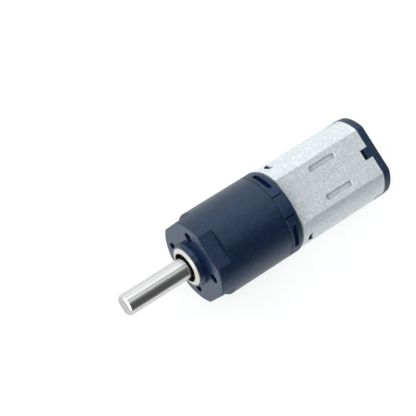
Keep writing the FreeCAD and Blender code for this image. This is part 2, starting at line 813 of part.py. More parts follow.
def rear_cover():
    """Motor plate that snaps over the barrel: four windowed fingers with keys between."""
    back = -D.cover_back
    body = turned("rear_cover", [
        (PLATE_BACK, D.cover_hole_radius),
        (PLATE_BACK, D.plate_radius),
        (-D.skirt_floor, D.plate_radius),
        (-D.skirt_floor, D.skirt_inner_radius),
        (COVER_FRONT, D.skirt_inner_radius),
        (COVER_FRONT, D.barrel_radius - D.edge_break / 2),
        (COVER_FRONT - D.edge_break / 2, D.barrel_radius),
        (back + D.cover_chamfer, D.barrel_radius),
        (back, D.barrel_radius - D.cover_chamfer),
        (back, D.cover_hole_radius),
    ])
    window = sketch_on(body, "window_outline", "XY_Plane", height=D.spigot_radius - 1, roll=45.0)
    draw_polygon(window, rectangle(-D.window_front, -D.window_back,
                                   -D.window_half_width, D.window_half_width))
    windows = [pocket(body, "window_pocket", window, D.barrel_radius)]
    around(body, "windows", windows, len(QUARTER_ANGLES))

    slit = sketch_on(body, "slit_outline", "XY_Plane", height=D.spigot_radius - 1)
    for side in (-1, 1):
        middle = D.key_half_width * side
        draw_polygon(slit, rectangle(COVER_FRONT + D.cover_seam, -D.skirt_floor,
                                     middle - D.slit_width / 2, middle + D.slit_width / 2))
    slits = [pocket(body, "slit_pocket", slit, D.barrel_radius)]
    around(body, "slits", slits, len(QUARTER_ANGLES))

    for number, side in enumerate((1, -1), start=1):
        name = "screw_seat_%d" % number
        seat = sketch_on(body, name, "YZ_Plane", height=PLATE_BACK)
        draw_circle(seat, (D.screw_offset * side, 0), D.counterbore_radius)
        pocket(body, name + "_pocket", seat, D.counterbore_depth, outward=False)
        hole = sketch_on(body, name + "_hole", "YZ_Plane", height=PLATE_BACK)
        draw_circle(hole, (D.screw_offset * side, 0), D.screw_hole_radius)
        pocket(body, name + "_hole_pocket", hole, D.cover_back, outward=False)
    return body


def motor_screws():
    """Two cross-head screws that hold the motor to the rear cover from inside."""
    head_front = COUNTERBORE_FLOOR + D.screw_head_height
    screws = []
    for number, angle in enumerate((90.0, 270.0), start=1):
        name = "motor_screw_%d" % number
        screw = turned(name, [
            (-D.screw_end, 0),
            (-D.screw_end, D.screw_shank_radius - D.edge_break),
            (-D.screw_end + D.edge_break, D.screw_shank_radius),
            (COUNTERBORE_FLOOR, D.screw_shank_radius),
            (COUNTERBORE_FLOOR, D.screw_head_radius),
            (head_front - D.edge_break, D.screw_head_radius),
            (head_front, D.screw_head_radius - D.edge_break),
            (head_front, 0),
        ])
        recess = sketch_on(screw, name + "_recess", "YZ_Plane", height=head_front)
        arm = D.screw_shank_radius
        rib = D.edge_break
        draw_polygon(recess, [(-arm, -rib), (-rib, -rib), (-rib, -arm), (rib, -arm),
                              (rib, -rib), (arm, -rib), (arm, rib), (rib, rib),
                              (rib, arm), (-rib, arm), (-rib, rib), (-arm, rib)])
        pocket(screw, name + "_recess_pocket", recess, D.screw_recess_depth, outward=False)
        screws.append(place_around(screw, angle, D.screw_offset))
    return group("motor_screws", screws)


# --- motor ------------------------------------------------------------------------------


def motor_can():
    """Drawn steel can with flats, pressed slots, rear notches and lanced magnet stops."""
    body = new_body("motor_can")
    outside = sketch_on(body, "can_outside", "YZ_Plane", height=-D.can_back)
    draw_flatted_round(outside, ZERO, D.can_corner)
    drawn = pad(body, "can_pad", outside, D.can_back - D.cover_back)
    round_end(body, "can_front_round", drawn, -D.cover_back, D.can_front_round)

    inside = sketch_on(body, "can_inside", "YZ_Plane", height=-D.can_back)
    draw_flatted_round(inside, D.can_wall, D.can_inner_corner)
    pocket(body, "can_cavity", inside, D.can_back - D.cover_back - D.can_front_wall)

    boss = sketch_on(body, "boss_outline", "YZ_Plane", height=-D.cover_back)
    draw_circle(boss, (0, 0), D.can_boss_radius)
    pad(body, "bush_boss", boss, D.can_boss_height)
    openings = sketch_on(body, "front_openings", "YZ_Plane", height=D.can_boss_height - D.cover_back)
    draw_circle(openings, (0, 0), D.motor_bush_radius)
    for side in (-1, 1):
        draw_circle(openings, (D.screw_offset * side, 0), D.screw_shank_radius)
    pocket(body, "front_openings_pocket", openings, D.can_boss_height * 2, outward=False)

    ribs = sketch_on(body, "magnet_rib_outline", "XY_Plane",
                     height=D.can_flat - D.can_wall - D.rib_height)
    slots = sketch_on(body, "slot_outline", "XY_Plane", height=D.can_flat - D.slot_depth)
    for side in (-1, 1):
        middle = D.slot_offset * side
        draw_slot(ribs, -D.slot_front, -D.slot_back, middle, D.rib_half_width)
        draw_slot(slots, -(D.slot_front + D.slot_draft_run),
                  -(D.slot_back - D.slot_draft_run), middle, D.slot_half_width)
    pressed = [pad(body, "magnet_ribs", ribs, D.rib_height + D.edge_break)]
    around(body, "magnet_rib_pairs", pressed, len(SIDES))
    drafted = pocket(body, "slots", slots, D.slot_depth)
    drafted.setExpression("TaperAngle", "atan(%s / %s)" % (D.slot_draft_run.text,
                                                           D.slot_depth.text))
    around(body, "slot_pairs", [drafted], len(SIDES))

    notch = sketch_on(body, "key_notch_outline", "XY_Plane", height=D.can_flat / 2)
    draw_polygon(notch, rectangle(-D.key_notch_front, -(D.can_back + D.can_wall),
                                  -D.key_notch_half_width, D.key_notch_half_width))
    notches = [pocket(body, "key_notch", notch, D.can_flat)]
    around(body, "key_notches", notches, len(SIDES))

    vent = sketch_on(body, "vent_outline", "XY_Plane", height=D.can_flat, roll=90.0)
    for side in (-1, 1):
        draw_slot(vent, -D.vent_front, -(D.can_back + D.can_wall * 2), D.vent_offset * side,
                  D.vent_half_width)
    vents = [pocket(body, "vent_pair", vent, D.can_flat)]
    around(body, "vents", vents, len(SIDES))

    punch = sketch_on(body, "punch_outline", "XY_Plane",
                      height=D.can_radius - D.punch_depth, roll=90.0)
    draw_circle(punch, (-D.punch_place, 0), D.punch_radius)
    punches = [pocket(body, "punch_mark", punch, D.can_wall)]
    around(body, "punch_marks", punches, len(SIDES))

    slope = math.degrees(math.atan2(D.lance_depth.value,
                                    (D.lance_back - D.lance_front).value))
    for number, offset in enumerate(LANCE_OFFSETS, start=1):
        name = "magnet_stop_%d" % number
        roll = 90.0 + offset
        reach = D.lance_back - D.lance_front
        tongue = sketch_on(body, name + "_tongue", "XY_Plane",
                           height=D.lance_plane - D.lance_floor, roll=roll, tilt=slope,
                           pivot=-D.lance_front)
        draw_half_disc(tongue, -reach, D.lance_radius + D.lance_root)
        tongues = [pad(body, name + "_tongue_pad", tongue, D.lance_floor - D.lance_root)]
        around(body, name + "_tongues", tongues, len(SIDES))
        mouth = sketch_on(body, name + "_mouth", "XY_Plane",
                          height=D.lance_plane, roll=roll, tilt=slope, pivot=-D.lance_front)
        draw_half_disc(mouth, -reach, D.lance_radius)
        mouths = [pocket(body, name + "_opening", mouth, D.can_wall * 2)]
        around(body, name + "_openings", mouths, len(SIDES))
        slit = sketch_on(body, name + "_slit", "XY_Plane",
                         height=D.can_radius - D.can_wall * 2, roll=roll)
        draw_polygon(slit, rectangle(-(D.lance_back - D.lance_slit), -D.lance_back,
                                     -D.lance_radius, D.lance_radius))
        slits = [pocket(body, name + "_slit_pocket", slit, D.can_radius)]
        around(body, name + "_slits", slits, len(SIDES))
    return body


def motor_bush(label, front, back):
    bore = D.motor_shaft_radius + D.running_clearance
    return turned(label, [
        (back, bore), (back, D.motor_bush_radius), (front, D.motor_bush_radius), (front, bore),
    ])


def motor_shaft():
    return turned("motor_shaft", [
        (-D.motor_shaft_back, 0),
        (-D.motor_shaft_back, D.motor_shaft_radius - D.edge_break),
        (-D.motor_shaft_back + D.edge_break, D.motor_shaft_radius),
        (-D.motor_shaft_front - D.edge_break, D.motor_shaft_radius),
        (-D.motor_shaft_front, D.motor_shaft_radius - D.edge_break),
        (-D.motor_shaft_front, 0),
    ])


def rotor_spacers():
    """Nylon washers that set the rotor's end play, one at each end."""
    front = -(D.front_bush_back + D.washer_gap)
    back = -(D.rear_bush_front - D.washer_gap)
    ahead = flat_washer("front_spacer", front, front - D.spacer_thickness,
                        D.spacer_radius, D.motor_shaft_radius)
    behind = flat_washer("rear_spacer", -D.commutator_back, back,
                         D.spacer_radius, D.motor_shaft_radius)
    return group("rotor_spacers", [ahead, behind])


def magnet(side, angle):
    """Arc magnet on one round side of the can, cut flat beside the flats."""
    label = "magnet_" + side
    front = -D.magnet_front
    back = -D.magnet_back
    back_face = cylinder(label + "_back", D.magnet_outer_radius, front, back)
    reach = D.can_side_offset * round(math.cos(math.radians(angle)))
    back_face.setExpression("Placement.Base.y", reach.text)
    ring = cut(label + "_ring", back_face,
               cylinder(label + "_face", D.magnet_inner_radius, front, back))
    window = box(label + "_sector", front, back, D.magnet_edge, D.can_radius,
                 D.magnet_half_height, roll=90.0 + angle)
    return common(label, [ring, window])


def pole_star(label, front, back, outer):
    """Hub, three poles and their shoes, with a gap between each two shoes."""
    hub = cylinder(label + "_hub", D.core_hub_radius, front, back)
    poles = [box("%s_pole_%d" % (label, angle), front, back, ZERO,
                 D.shoe_inner_radius + D.edge_break, D.pole_half_width, roll=angle)
             for angle in OUTPUT_PLANET_ANGLES]
    gaps = [box("%s_gap_%d" % (label, angle), front, back, D.core_hub_radius,
                outer + D.edge_break, D.pole_gap / 2, roll=angle)
            for angle in INPUT_PLANET_ANGLES]
    shoes = cut(label + "_shoes", tube(label + "_rim", outer, D.shoe_inner_radius, front, back),
                fuse(label + "_gaps", gaps))
    star = fuse(label + "_star", [hub, shoes] + poles)
    bore = cylinder(label + "_bore", D.motor_shaft_radius, front, back)
    return cut(label, star, bore)


def rotor_insulators():
    front = -D.core_front
    back = -D.core_back
    ahead = pole_star("front_insulator", front + D.insulator_thickness, front,
                      D.insulator_radius)
    behind = pole_star("rear_insulator", back, back - D.insulator_thickness,
                       D.insulator_radius)
    return group("rotor_insulators", [ahead, behind])


def rotor_windings():
    """Three coils, each wound round one pole and reaching past both ends of the core."""
    inner_front = -D.core_front + D.insulator_thickness
    inner_back = -D.core_back - D.insulator_thickness
    front = inner_front + D.coil_overhang
    back = inner_back - D.coil_overhang
    coils = []
    for angle in OUTPUT_PLANET_ANGLES:
        name = "coil_%d" % angle
        bundle = box(name + "_bundle", front, back, D.coil_inner_radius, D.coil_outer_radius,
                     D.coil_half_width, roll=angle)
        limit = cylinder(name + "_limit", D.coil_outer_radius, front, back)
        rounded = common(name + "_rounded", [bundle, limit])
        pole = box(name + "_pole", inner_front, inner_back, ZERO, D.coil_outer_radius + 1,
                   D.pole_half_width + D.washer_gap, roll=angle)
        coils.append(cut(name, rounded, pole))
    return group("rotor_windings", coils)


def commutator_sleeve():
    flange_back = -(D.commutator_front + D.commutator_flange_thickness)
    return turned("commutator_sleeve", [
        (-D.commutator_back, D.motor_shaft_radius),
        (-D.commutator_back, D.commutator_sleeve_radius),
        (flange_back, D.commutator_sleeve_radius),
        (flange_back, D.commutator_flange_radius),
        (-D.commutator_front, D.commutator_flange_radius),
        (-D.commutator_front, D.motor_shaft_radius),
    ])


def commutator_bars():
    """Three copper bars round the sleeve."""
    front = -(D.commutator_front + D.commutator_flange_thickness)
    back = -D.commutator_back
    ring = tube("commutator_ring", D.commutator_radius, D.commutator_sleeve_radius, front, back)
    gaps = [box("commutator_gap_%d" % angle, front, back, ZERO, D.commutator_radius + 1,
                D.commutator_gap / 2, roll=angle) for angle in OUTPUT_PLANET_ANGLES]
    return cut("commutator_bars", ring, fuse("commutator_gaps", gaps))


def end_cap():
    """Moulded cap that closes the can, with the rear bush's seat and the terminal slots."""
    body = new_body("end_cap")
    rim = sketch_on(body, "rim_outline", "YZ_Plane", height=-D.cap_back)
    draw_flatted_round(rim, D.cap_inset, D.cap_corner)
    moulded = pad(body, "rim", rim, D.cap_back - D.can_back)
    round_end(body, "rim_round", moulded, -D.cap_back, D.cap_round)

    inset = D.can_wall + D.cap_spigot_gap
    spigot = sketch_on(body, "spigot_outline", "YZ_Plane", height=-D.can_back)
    draw_flatted_round(spigot, inset, D.can_inner_corner)
    pad(body, "spigot", spigot, D.can_back - D.cap_spigot_front)
    hollow = inset + D.cap_spigot_wall
    cavity = sketch_on(body, "cavity_outline", "YZ_Plane", height=-D.cap_spigot_front)
    draw_flatted_round(cavity, hollow, D.can_inner_corner)
    pocket(body, "cavity", cavity, D.cap_floor - D.cap_spigot_front, outward=False)

    post = sketch_on(body, "post_outline", "YZ_Plane", height=-D.cap_floor)
    draw_circle(post, (0, 0), D.cap_post_radius)
    pad(body, "bush_post", post, D.cap_floor - D.cap_post_front)
    boss = sketch_on(body, "rear_boss_outline", "YZ_Plane", height=-D.cap_back)
    draw_circle(boss, (0, 0), D.cap_boss_radius)
    pad(body, "rear_boss", boss, D.cap_boss_back - D.cap_back, outward=False)
    seat = sketch_on(body, "bush_seat", "YZ_Plane", height=-D.cap_post_front)
    draw_circle(seat, (0, 0), D.motor_bush_radius)
    pocket(body, "bush_seat_pocket", seat, D.rear_bush_back - D.cap_post_front, outward=False)

    key = sketch_on(body, "key_outline", "XY_Plane", height=D.can_flat / 2 + 1)
    key_half_width = D.key_notch_half_width - D.cap_spigot_gap
    draw_polygon(key, rectangle(-D.cap_key_front, -(D.can_back + D.can_wall),
                                -key_half_width, key_half_width))
    keys = [pad(body, "key", key, D.cap_key_top - D.can_flat / 2 - 1)]
    around(body, "keys", keys, len(SIDES))

    recess = sketch_on(body, "recess_outline", "YZ_Plane", height=-D.cap_back)
    draw_polygon(recess, [(D.cap_recess_inner, -D.cap_recess_half_width),
                          (D.can_radius + 1, -D.cap_recess_half_width),
                          (D.can_radius + 1, D.cap_recess_half_width),
                          (D.cap_recess_inner, D.cap_recess_half_width)])
    recesses = [pocket(body, "recess", recess, D.cap_recess_depth)]
    around(body, "recesses", recesses, len(SIDES))

    slot = sketch_on(body, "terminal_slot_outline", "YZ_Plane", height=-D.cap_back)
    low = D.terminal_place - D.terminal_slot_gap
    high = D.terminal_place + D.terminal_thickness + D.terminal_slot_gap
    reach = D.terminal_half_width + D.terminal_slot_gap
    draw_polygon(slot, [(low, -reach), (high, -reach), (high, reach), (low, reach)])
    slots = [pocket(body, "terminal_slot", slot, D.cap_back - D.cap_spigot_front)]
    around(body, "terminal_slots", slots, len(SIDES))
    return body


def terminal(side, angle):
    """Flat blade through the cap with a soldering eye behind it."""
    label = "terminal_" + side
    body = new_body(label)
    blade = sketch_on(body, label + "_blade", "XZ_Plane", height=-D.terminal_place)
    draw_polygon(blade, rectangle(-D.terminal_front, -D.terminal_eye_place,
                                  -D.terminal_half_width, D.terminal_half_width))
    pad(body, label + "_blade_pad", blade, D.terminal_thickness, outward=False)
    eye = sketch_on(body, label + "_eye", "XZ_Plane", height=-D.terminal_place)
    draw_circle(eye, (-D.terminal_eye_place, 0), D.terminal_eye_radius)
    pad(body, label + "_eye_pad", eye, D.terminal_thickness, outward=False)
    hole = sketch_on(body, label + "_hole", "XZ_Plane", height=-D.terminal_place)
    draw_circle(hole, (-D.terminal_eye_place, 0), D.terminal_hole_radius)
    pocket(body, label + "_hole_pocket", hole, D.terminal_thickness, outward=False)
    return place_around(body, angle)


def brush_leaf(side, angle):
    """Bent bronze leaf from the terminal's inner face to the back of the brush block."""
    label = "brush_leaf_" + side
    body = new_body(label)
    outer = D.terminal_place
    inner = D.block_outer
    thick = D.leaf_thickness
    profile = sketch_on(body, label + "_profile", "YZ_Plane", height=-D.leaf_back)
    draw_polygon(profile, [
        (outer, -D.leaf_drop),
        (outer, D.leaf_rise + thick),
        (inner, D.leaf_bend + thick),
        (inner, -D.leaf_drop),
        (inner + thick, -D.leaf_drop),
        (inner + thick, D.leaf_bend),
        (outer - thick, D.leaf_rise),
        (outer - thick, -D.leaf_drop),
    ])
    pad(body, label + "_pad", profile, D.leaf_back - D.leaf_front)
    return place_around(body, angle)


def brush_block(side, angle):
    """Carbon block between the leaf and the commutator, hollowed to the bars' radius."""
    label = "brush_block_" + side
    front = -D.block_front
    back = -D.block_back
    block = box(label + "_blank", front, back, D.commutator_sleeve_radius, D.block_outer,
                D.block_half_height, roll=90.0 + angle)
    hollow = cylinder(label + "_hollow", D.commutator_radius + D.block_clearance, front, back)
    return cut(label, block, hollow)


# --- the assembly -----------------------------------------------------------------------


def build_all():
    bush_bore = D.shaft_radius + D.running_clearance
    pieces = [
        gearbox_housing(),
        output_bush(),
        output_shaft(),
        flat_washer("output_washer", FRONT_WALL_BACK, OUTPUT_WASHER_BACK,
                    D.washer_radius, bush_bore),
        carrier_disc("output_carrier", OUTPUT_CARRIER_FRONT, OUTPUT_CARRIER_BACK,
                     D.shaft_radius, D.output_pin_radius, OUTPUT_PLANET_ANGLES),
        planet_pins("output_pins", D.output_pin_radius, OUTPUT_CARRIER_FRONT,
                    OUTPUT_PLANET_BACK - D.washer_gap, OUTPUT_PLANET_ANGLES),
        input_carrier(),
        planet_pins("input_pins", D.input_pin_radius, INPUT_CARRIER_FRONT,
                    INPUT_PLANET_BACK - D.gear_gap, INPUT_PLANET_ANGLES),
        flat_washer("backing_plate", PLATE_FRONT, PLATE_BACK,
                    D.plate_radius, D.plate_hole_radius),
        rear_cover(),
        motor_screws(),
        sun_pinion(),
        motor_shaft(),
        motor_can(),
        motor_bush("front_motor_bush", -D.front_bush_front, -D.front_bush_back),
        motor_bush("rear_motor_bush", -D.rear_bush_front, -D.rear_bush_back),
        rotor_spacers(),
        pole_star("rotor_core", -D.core_front, -D.core_back, D.core_radius),
        rotor_insulators(),
        rotor_windings(),
        commutator_sleeve(),
        commutator_bars(),
        end_cap(),
    ]
    for number, angle in enumerate(OUTPUT_PLANET_ANGLES, start=1):
        pieces.append(planet_gear("output_planet_%d" % number, OUTPUT_PLANET_FRONT,
                                  OUTPUT_PLANET_BACK, D.output_pin_radius, angle))
    for number, angle in enumerate(INPUT_PLANET_ANGLES, start=1):
        pieces.append(planet_gear("input_planet_%d" % number, INPUT_PLANET_FRONT,
                                  INPUT_PLANET_BACK, D.input_pin_radius, angle))
    for side, angle in SIDES.items():
        pieces.append(magnet(side, angle))
        pieces.append(terminal(side, angle))
        pieces.append(brush_leaf(side, angle))
        pieces.append(brush_block(side, angle))
    return pieces


def check_document(pieces):
    """Stops the build if any object failed or any piece's shape is missing or broken."""
    for item in doc.Objects:
        if "Invalid" in item.State or "Error" in item.State:
            raise RuntimeError("%s did not rebuild" % item.Label)
    for piece in pieces:
        if piece.Shape.isNull() or not piece.Shape.isValid():
            raise RuntimeError("%s has no valid shape" % piece.Label)
        if not piece.Shape.Solids:
            raise RuntimeError("%s holds no solid" % piece.Label)


pieces = build_all()
doc.recompute()
check_document(pieces)
os.makedirs("parts", exist_ok=True)
for piece in pieces:
    piece.Shape.exportStep("parts/%s.step" % piece.Label)
print("%d nodes written" % len(pieces))
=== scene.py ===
import json

import bpy
from mathutils import Matrix, Vector


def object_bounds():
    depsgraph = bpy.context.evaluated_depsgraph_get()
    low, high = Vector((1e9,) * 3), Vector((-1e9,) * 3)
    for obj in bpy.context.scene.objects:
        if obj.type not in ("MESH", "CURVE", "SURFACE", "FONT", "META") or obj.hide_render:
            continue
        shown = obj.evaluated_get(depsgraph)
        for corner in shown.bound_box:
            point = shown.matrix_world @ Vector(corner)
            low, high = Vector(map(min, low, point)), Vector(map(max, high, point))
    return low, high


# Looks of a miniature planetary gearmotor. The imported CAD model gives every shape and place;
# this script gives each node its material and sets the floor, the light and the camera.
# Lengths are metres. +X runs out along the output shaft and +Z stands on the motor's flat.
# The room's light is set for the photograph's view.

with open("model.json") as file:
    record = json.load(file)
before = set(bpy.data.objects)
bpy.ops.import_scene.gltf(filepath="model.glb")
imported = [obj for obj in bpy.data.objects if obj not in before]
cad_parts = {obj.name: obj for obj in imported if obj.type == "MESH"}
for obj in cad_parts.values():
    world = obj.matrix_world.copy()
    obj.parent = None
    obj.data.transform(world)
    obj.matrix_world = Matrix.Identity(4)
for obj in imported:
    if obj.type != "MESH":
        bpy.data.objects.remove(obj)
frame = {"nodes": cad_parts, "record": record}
cad_low, cad_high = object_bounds()

FLOOR_HEIGHT = cad_low.z
FLOOR_SIZE = 3.0
FRONT_FACE_X = 0.0
SENSOR = 36.0
FOCAL_PIXELS = 1613.18
FRAME_PIXELS = 416
CLIP_NEAR = 0.005
CLIP_FAR = 20.0
CAMERA_PLACE = Vector((0.1013355, -0.0018514, 0.2554874))
CAMERA_RIGHT = Vector((-0.7822866, 0.5320484, 0.3239633))
CAMERA_UP = Vector((-0.4837462, -0.8465416, 0.2221641))
CAMERA_BACK = Vector((0.3924504, 0.0170800, 0.9196146))

# Sockets of the Mix node when it mixes colours.
MIX_FACTOR = "0"
MIX_FIRST = "6"
MIX_SECOND = "7"
MIX_RESULT = 2

# Share of open sky below which a recess is fully darkened with painted shade, and above which
# it has none.
FULL_SHADE_SKY = 0.50
UNSHADED_SKY = 0.93


class Nodes:
    """Short calls that add shader nodes and wire them together."""

    def __init__(self, tree):
        self.tree = tree

    def add(self, kind, **inputs):
        node = self.tree.nodes.new("ShaderNode" + kind)
        for name, value in inputs.items():
            self.feed(node, name.replace("_", " "), value)
        return node

    def feed(self, node, name, value):
        socket = node.inputs[int(name)] if name.isdigit() else node.inputs[name]
        if isinstance(value, bpy.types.NodeSocket):
            self.tree.links.new(value, socket)
        else:
            socket.default_value = value

    def math(self, operation, first, second=0.0):
        node = self.tree.nodes.new("ShaderNodeMath")
        node.operation = operation
        self.feed(node, "0", first)
        self.feed(node, "1", second)
        return node.outputs[0]

    def between(self, value, low, high, full=1.0):
        """Smooth step from 0 to full as value goes from low to high, or down to high."""
        node = self.tree.nodes.new("ShaderNodeMapRange")
        node.interpolation_type = "SMOOTHSTEP"
        for name, number in (("Value", value), ("From Min", low), ("From Max", high),
                             ("To Min", 0.0), ("To Max", full)):
            self.feed(node, name, number)
        return node.outputs["Result"]

    def stretched(self, vector, scale):
        """Places with scale cells to a metre along X, Y and Z, for noise of scale 1."""
        node = self.tree.nodes.new("ShaderNodeVectorMath")
        node.operation = "MULTIPLY"
        self.tree.links.new(vector, node.inputs[0])
        node.inputs[1].default_value = scale
        return node.outputs[0]

    def noise(self, vector, scale, detail=2.0, roughness=0.5):
        """Noise with scale cells to a metre, so 1000 gives marks about a millimetre wide."""
        node = self.add("TexNoise", Vector=vector, Scale=scale, Detail=detail,
                        Roughness=roughness)
        return node.outputs["Fac"]

    def blend(self, factor, first, second):
        node = self.tree.nodes.new("ShaderNodeMix")
        node.data_type = "RGBA"
        self.feed(node, MIX_FACTOR, factor)
        self.feed(node, MIX_FIRST, first)
        self.feed(node, MIX_SECOND, second)
        return node.outputs[MIX_RESULT]

    def split(self, vector):
        return self.add("SeparateXYZ", Vector=vector).outputs

    def painted_shade_openness(self, reach):
        """Near 0 where shade is painted into recesses about as deep as reach, 1 in the open."""
        open_sky = self.add("AmbientOcclusion", Distance=reach).outputs["AO"]
        return self.between(open_sky, FULL_SHADE_SKY, UNSHADED_SKY)

    def bump(self, height, depth, under=None):
        node = self.add("Bump", Height=height, Distance=depth, Strength=1.0)
        if under is not None:
            self.tree.links.new(under, node.inputs["Normal"])
        return node.outputs["Normal"]


def new_material(name):
    """A material with a Principled shader, and its Nodes and object coordinates."""
    material = bpy.data.materials.new(name)
    material.use_nodes = True
    tree = material.node_tree
    nodes = Nodes(tree)
    shader = tree.nodes["Principled BSDF"]
    place = nodes.add("TexCoord").outputs["Object"]
    return material, nodes, shader, place


def colour(red, green, blue):
    return (red, green, blue, 1.0)


def shade(base, factor):
    return colour(*(min(1.0, channel * factor) for channel in base[:3]))


# --- materials --------------------------------------------------------------------------

PLASTIC_IOR = 1.6
PLASTIC_SHEEN = colour(0.55, 0.78, 1.0)
ZINC_METALLIC = 0.4
SPECK_GAIN = 1.6
SPECK_LIFT = 0.004

# Cells to a metre. The round marks have one number, the drawn-out ones one for each axis.
FLOW_MARKS = (180.0, 700.0, 700.0)
PLASTIC_CLOUDS = 900.0
FINE_GRAIN = 5200.0
COARSE_GRAIN = 2300.0
ZINC_SPANGLE = 4500.0
ZINC_MOTTLE = 4600.0
ZINC_PATCHES = 260.0
DRAWING_STREAKS = (90.0, 2600.0, 2600.0)
DRAWING_SMEARS = (70.0, 900.0, 900.0)
GRINDING_STREAKS = (25.0, 5200.0, 5200.0)
GRINDING_BANDS = (10.0, 1300.0, 1300.0)
STEEL_CLOUDS = 1500.0
RINGS_ALONG_X = 300.0
PORES = 4200.0
OIL_PATCHES = 1100.0
COPPER_PATCHES = 1500.0
GRIT = 6000.0
GRIT_PATCHES = 700.0

# Radians to a metre of the wave that stands for wires laid side by side.
WIRE_WAVES = 52000.0

# Depths of bumps, and how far under the front face the polished skin reaches.
ZINC_SPECKLE_DEPTH = 0.000028
ZINC_STREAK_DEPTH = 0.000010
STEEL_WAVE_DEPTH = 0.00004
STEEL_MARK_DEPTH = 0.000006
PORE_DEPTH = 0.000008
WIRE_DEPTH = 0.00002
GRIT_DEPTH = 0.00001
SKIN_BACK = 0.00008
SKIN_FRONT = 0.00002

# How far off a recess's walls still count when its painted shade is worked out.
ZINC_PAINTED_SHADE_REACH = 0.0009
STEEL_PAINTED_SHADE_REACH = 0.0010


def moulded_plastic(name, base, roughness, grain, polished_front=None):
    """Moulded plastic: eroded-die grain, faint flow marks and uneven gloss."""
    material, nodes, shader, place = new_material(name)
    flow = nodes.noise(nodes.stretched(place, FLOW_MARKS), 1.0, detail=3.0)
    cloud = nodes.noise(place, PLASTIC_CLOUDS, detail=3.0)
    fine = nodes.noise(place, FINE_GRAIN, detail=2.0, roughness=0.6)
    coarse = nodes.noise(place, COARSE_GRAIN, detail=2.0, roughness=0.5)
    tint = nodes.blend(nodes.between(cloud, 0.3, 0.7), shade(base, 0.75), shade(base, 1.25))
    speck = nodes.between(coarse, 0.50, 0.70, full=0.8)
    pale = colour(*(channel * SPECK_GAIN + SPECK_LIFT for channel in base[:3]))
    tint = nodes.blend(speck, tint, pale)
    nodes.feed(shader, "Base Color", tint)
    gloss = nodes.math("ADD", roughness - 0.09, nodes.math("MULTIPLY", flow, 0.10))
    gloss = nodes.math("ADD", gloss, nodes.math("MULTIPLY", coarse, 0.12))
    relief = nodes.math("ADD", nodes.math("MULTIPLY", fine, 0.5), coarse)
    depth = grain
    if polished_front is not None:
        face = nodes.between(nodes.split(place)[0], polished_front - SKIN_BACK,
                             polished_front - SKIN_FRONT)
        gloss = nodes.math("SUBTRACT", gloss, nodes.math("MULTIPLY", face, 0.12))
        depth = nodes.math("MULTIPLY", grain, nodes.math("SUBTRACT", 1.0,
                                                         nodes.math("MULTIPLY", face, 0.8)))
    nodes.feed(shader, "Roughness", gloss)
    nodes.feed(shader, "Normal", nodes.bump(relief, depth))
    shader.inputs["IOR"].default_value = PLASTIC_IOR
    shader.inputs["Specular Tint"].default_value = PLASTIC_SHEEN
    return material


def zinc_steel(name, base):
    """Galvanised sheet: fine mottled spangle, streaks and smears drawn out along the can."""
    material, nodes, shader, place = new_material(name)
    spangle = nodes.add("TexVoronoi", Vector=place, Scale=ZINC_SPANGLE, Randomness=1.0)
    cells = nodes.split(spangle.outputs["Color"])[0]
    mottle = nodes.noise(place, ZINC_MOTTLE, detail=3.0, roughness=0.65)
    patch = nodes.noise(place, ZINC_PATCHES, detail=3.0, roughness=0.55)
    streak = nodes.noise(nodes.stretched(place, DRAWING_STREAKS), 1.0, detail=3.0,
                         roughness=0.6)
    smear = nodes.noise(nodes.stretched(place, DRAWING_SMEARS), 1.0, detail=3.0,
                        roughness=0.6)
    mix = nodes.math("ADD", nodes.math("MULTIPLY", cells, 0.35),
                     nodes.math("MULTIPLY", mottle, 0.65))
    tint = nodes.blend(nodes.between(mix, 0.32, 0.72), shade(base, 0.80), shade(base, 1.10))
    tint = nodes.blend(nodes.between(smear, 0.45, 0.70, full=0.5), tint, shade(base, 0.82))
    tint = nodes.blend(nodes.between(patch, 0.45, 0.75, full=0.30), tint, shade(base, 0.90))
    # Painted shade: recesses in the can are darkened towards a near-black copy of the base
    # colour.
    painted_shade_colour = shade(base, 0.12)
    nodes.feed(shader, "Base Color",
               nodes.blend(nodes.painted_shade_openness(ZINC_PAINTED_SHADE_REACH), painted_shade_colour, tint))
    shader.inputs["Metallic"].default_value = ZINC_METALLIC
    gloss = nodes.math("ADD", 0.34, nodes.math("MULTIPLY", mottle, 0.16))
    gloss = nodes.math("ADD", gloss, nodes.math("MULTIPLY", streak, 0.08))
    nodes.feed(shader, "Roughness", gloss)
    speckle = nodes.bump(mottle, ZINC_SPECKLE_DEPTH)
    nodes.feed(shader, "Normal", nodes.bump(streak, ZINC_STREAK_DEPTH, speckle))
    return material


